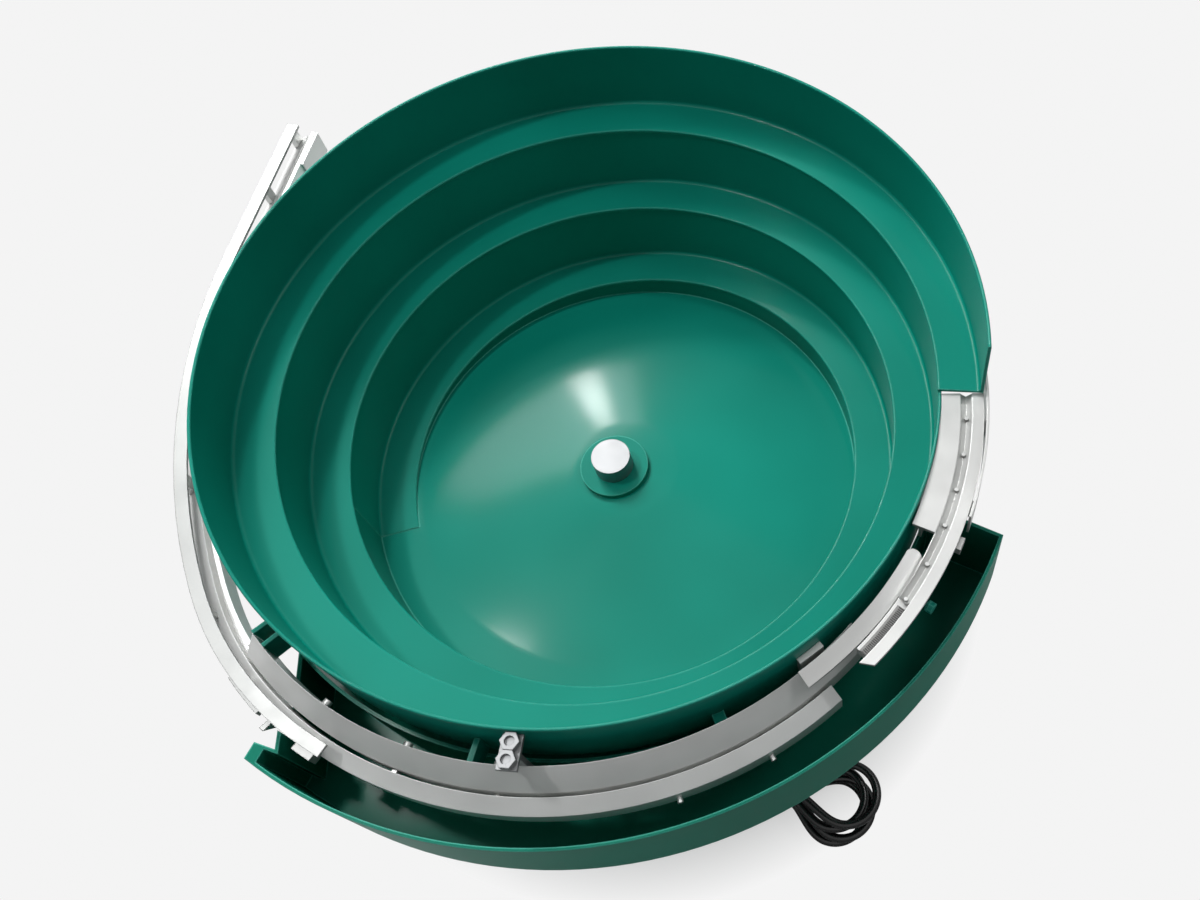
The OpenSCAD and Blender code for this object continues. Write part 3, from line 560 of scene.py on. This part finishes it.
def spiral_bowl():
    """The whole bowl: three turns of track with their walls, the low wall and the floor."""
    bm = bmesh.new()
    track_part(bm, 0, RIM_T, 0.2)
    track_part(bm, RIM_T, T_END, LIP_ROUND)
    # the low wall that carries the first turn's inner edge
    t0 = 0.035
    r, foot, top = sp_r(t0), FLOOR - 0.6, sp_z(t0) - 1
    pts = [(r, foot), (r + SHEET, foot), (r + SHEET, top), (r, top)]
    wound(bm, pts, t0, 0.9996, FLOOR)
    # the floor, a shallow cone with a flat middle
    slope = [(SLOPE_R - SLOPE_RUN * i / SLOPE_STEPS, LOW_FLOOR + SLOPE_RISE * i / SLOPE_STEPS)
             for i in range(SLOPE_STEPS + 1)]
    pts = [(0, FLOOR - 3), (FLOOR_R, FLOOR - 3), (FLOOR_R, LOW_FLOOR)] + slope + [(0, FLOOR + 7)]
    vs = [bm.verts.new(((SPIRAL_X + r) * MM, 0, z * MM)) for r, z in pts]
    line = [bm.edges.new((p, q)) for p, q in zip(vs, vs[1:])]
    bmesh.ops.spin(bm, geom=vs + line, cent=(SPIRAL_X * MM, 0, 0), axis=(0, 0, 1),
                   angle=math.radians(360), steps=180, use_merge=True)
    low = [v for v in bm.verts if v.co.z < (FLOOR + 7.2) * MM]
    bmesh.ops.remove_doubles(bm, verts=low, dist=1e-6)
    paint_highlight_lines(bm)
    return piece("spiral_bowl", bm, BOWL, 40)


# the second finish paints the highlight lines on the lip, fold and rim
dress(spiral_bowl(), "green green_edge", "green_coat", "bowl")

# ---------------------------------------------------------------- surroundings

BACKDROP = 0.904            # brightness of the plain backdrop
world = bpy.data.worlds.new("studio")
scene.world = world
world.use_nodes = True
wn = world.node_tree
wn.nodes.clear()


def world_mix(fac, first, second):
    """The first glow, or the second where the factor is 1."""
    mx = wn.nodes.new("ShaderNodeMixShader")
    wn.links.new(fac, mx.inputs[0])
    wn.links.new(first, mx.inputs[1])
    wn.links.new(second, mx.inputs[2])
    return mx.outputs[0]


def glow(colour, strength):
    """An even glow of the surroundings."""
    bg = wn.nodes.new("ShaderNodeBackground")
    bg.inputs[0].default_value = (*colour, 1)
    bg.inputs[1].default_value = strength
    return bg


rays = wn.nodes.new("ShaderNodeLightPath")
seen = glow((BACKDROP, BACKDROP, BACKDROP), 1.0)
lit = glow((0.95, 0.98, 1.0), 0.15)
mirrored = glow((1, 1, 1), 1.0)
# what a polished face shows: a pale room above, darker towards the horizon
way = wn.nodes.new("ShaderNodeTexCoord")
parts = wn.nodes.new("ShaderNodeSeparateXYZ")
wn.links.new(way.outputs["Generated"], parts.inputs[0])
room = ramp(wn, parts.outputs["Z"], [(0.02, (0.16, 0.16, 0.155)), (0.45, (0.42, 0.43, 0.43)),
                                     (0.80, (BACKDROP, BACKDROP, BACKDROP))])
wn.links.new(room, mirrored.inputs[0])
wout = wn.nodes.new("ShaderNodeOutputWorld")
unseen = world_mix(rays.outputs["Is Glossy Ray"], lit.outputs[0], mirrored.outputs[0])
wn.links.new(world_mix(rays.outputs["Is Camera Ray"], unseen, seen.outputs[0]), wout.inputs[0])


def area(name, pos, target, size, power):
    """A soft rectangular lamp that faces the target."""
    d = bpy.data.lights.new(name, "AREA")
    d.shape = "RECTANGLE"
    d.size, d.size_y = size
    d.energy = power
    o = bpy.data.objects.new(name, d)
    scene.collection.objects.link(o)
    o.location = pos
    o.rotation_mode = "QUATERNION"
    o.rotation_quaternion = (Vector(target) - Vector(pos)).to_track_quat("-Z", "Y")


area("soft_key", (-0.90, 1.26, 1.80), (0, 0, 0.2), (0.9, 0.8), 37)
area("window_high", (-0.572, 1.132, 1.633), (-0.02, 0.05, 0.168), (0.11, 0.11), 6.5)
area("window_side", (-0.740, 0.135, 1.925), (-0.08, -0.15, 0.2), (0.13, 0.14), 8)
area("overhead_panel", (-0.25, 0.15, 2.3), (0, 0, 0.2), (1.3, 1.0), 4.5)
area("side_fill", (1.3, 0.55, 2.0), (0, 0, 0.2), (0.8, 0.5), 7)

# ---------------------------------------------------------------- floor

FADE_FROM, FADE_TO = 0.16, 0.27      # radius where the shaded floor turns to plain backdrop


def floor_finish():
    """Pale floor that keeps the object's shadow near it and is plain backdrop further out."""
    m, nt, b = material("pale_floor")
    out = nt.nodes["Material Output"]
    b.inputs["Base Color"].default_value = (0.86, 0.86, 0.86, 1)
    b.inputs["Roughness"].default_value = 0.7
    tc = nt.nodes.new("ShaderNodeTexCoord")
    flat = nt.nodes.new("ShaderNodeVectorMath")
    flat.operation = "LENGTH"
    nt.links.new(tc.outputs["Object"], flat.inputs[0])
    far = nt.nodes.new("ShaderNodeMapRange")
    far.inputs["From Min"].default_value = FADE_FROM
    far.inputs["From Max"].default_value = FADE_TO
    nt.links.new(flat.outputs["Value"], far.inputs["Value"])
    rays = nt.nodes.new("ShaderNodeLightPath")
    both = nt.nodes.new("ShaderNodeMath")
    both.operation = "MULTIPLY"
    nt.links.new(far.outputs[0], both.inputs[0])
    nt.links.new(rays.outputs["Is Camera Ray"], both.inputs[1])
    bright = nt.nodes.new("ShaderNodeEmission")
    bright.inputs["Color"].default_value = (BACKDROP, BACKDROP, BACKDROP, 1)
    mx = nt.nodes.new("ShaderNodeMixShader")
    nt.links.new(both.outputs[0], mx.inputs[0])
    nt.links.new(b.outputs[0], mx.inputs[1])
    nt.links.new(bright.outputs[0], mx.inputs[2])
    nt.links.new(mx.outputs[0], out.inputs[0])
    return m


def floor():
    """A wide floor under the object."""
    bm = bmesh.new()
    bmesh.ops.create_grid(bm, x_segments=4, y_segments=4, size=3.0)
    me = bpy.data.meshes.new("floor")
    bm.to_mesh(me)
    bm.free()
    ob = bpy.data.objects.new("floor", me)
    scene.collection.objects.link(ob)
    me.materials.append(floor_finish())


floor()
